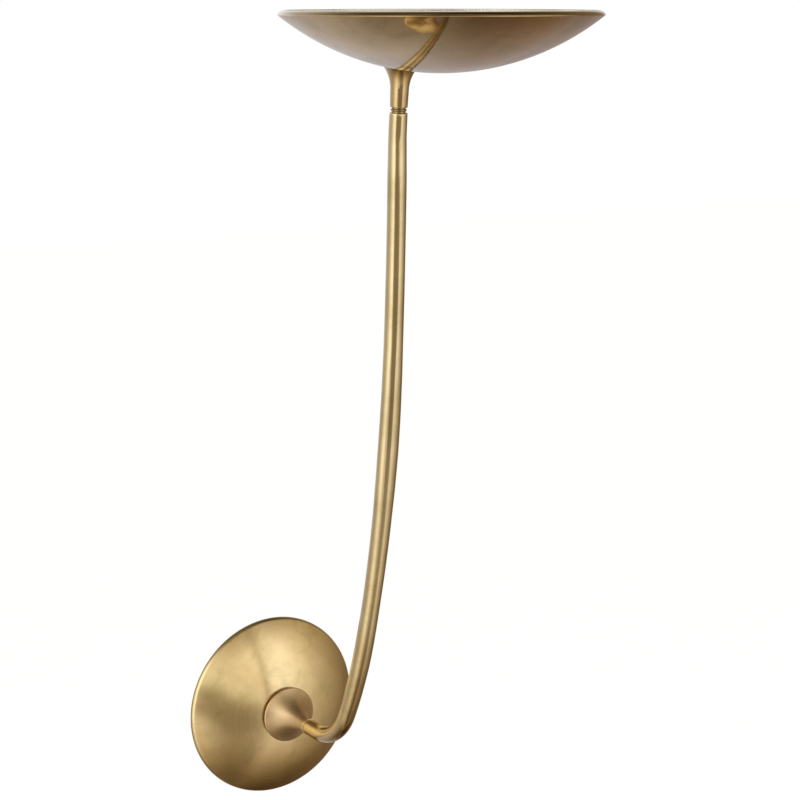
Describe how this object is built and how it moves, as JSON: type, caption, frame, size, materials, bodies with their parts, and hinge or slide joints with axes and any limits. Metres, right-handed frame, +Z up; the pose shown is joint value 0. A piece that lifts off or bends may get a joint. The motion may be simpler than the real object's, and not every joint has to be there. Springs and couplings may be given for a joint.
{
  "type": "uplighter wall sconce",
  "caption": "Uplighter wall sconce: domed wall cover, trumpet bell, one long swept tube arm and a shallow brass dish with a frosted diffuser that throws light up the wall.",
  "frame": {"origin": "where the fixture's centre line meets the wall plane, midway between the two box-screw slots on the mounting bar's back face", "axes": "+Z up, +Y into the wall, so the fixture stands out along -Y, +X to the right-hand side of someone who faces the wall"},
  "size_m": [0.189, 0.3448, 0.5483],
  "materials": {
    "antique_brass": "hand-rubbed antique brass, satin",
    "bright_brass": "polished edge, lacquered",
    "dark_brass": "dark aged brass, satin",
    "raw_brass": "turned, unlacquered",
    "zinc_steel": "zinc plated",
    "green_steel": "green passivated",
    "nylon": "moulded, matt",
    "green_pvc": "insulation, satin",
    "grey_pvc": "sheath, satin",
    "white_pvc": "insulation, satin",
    "black_rubber": "moulded, matt",
    "aluminium": "turned, satin",
    "white_board": "white solder mask, satin",
    "led_yellow": "phosphor, gloss",
    "black_plastic": "moulded, satin",
    "white_enamel": "white enamel, satin",
    "frosted_opal": "frosted opal, fine matt"
  },
  "bodies": {
    "fixture": {"wall_cover": "antique_brass", "bell": "antique_brass", "joint_ring": "bright_brass", "seat_ring": "dark_brass", "arm_tube": "antique_brass", "neck_coupler": "dark_brass", "neck": "antique_brass", "dish": "antique_brass", "mounting_bar": "zinc_steel", "lock_nut": "zinc_steel", "lock_washer": "zinc_steel", "centre_nipple": "raw_brass", "root_spigot": "raw_brass", "neck_stud": "raw_brass", "saddle_washer": "raw_brass", "stud_nut": "raw_brass", "nipple_bush": "nylon", "earth_screw": "green_steel", "earth_lead": "green_pvc", "supply_lead": "grey_pvc", "box_connector": "nylon", "plate_grommet": "black_rubber", "terminal_block": "nylon", "board_leads": "white_pvc", "plate_pillars": "aluminium", "heat_spreader": "aluminium", "led_board": "white_board", "led_chips": "led_yellow", "driver_parts": "black_plastic", "plate_screws": "zinc_steel", "board_screws": "zinc_steel", "reflector_pan": "white_enamel"},
    "diffuser": {"diffuser": "frosted_opal"}
  },
  "joints": [
    {"name": "diffuser_lift", "type": "slide", "parent": "fixture", "child": "diffuser", "axis": [0, 0, 1], "range_m": [0, 0.04]}
  ]
}
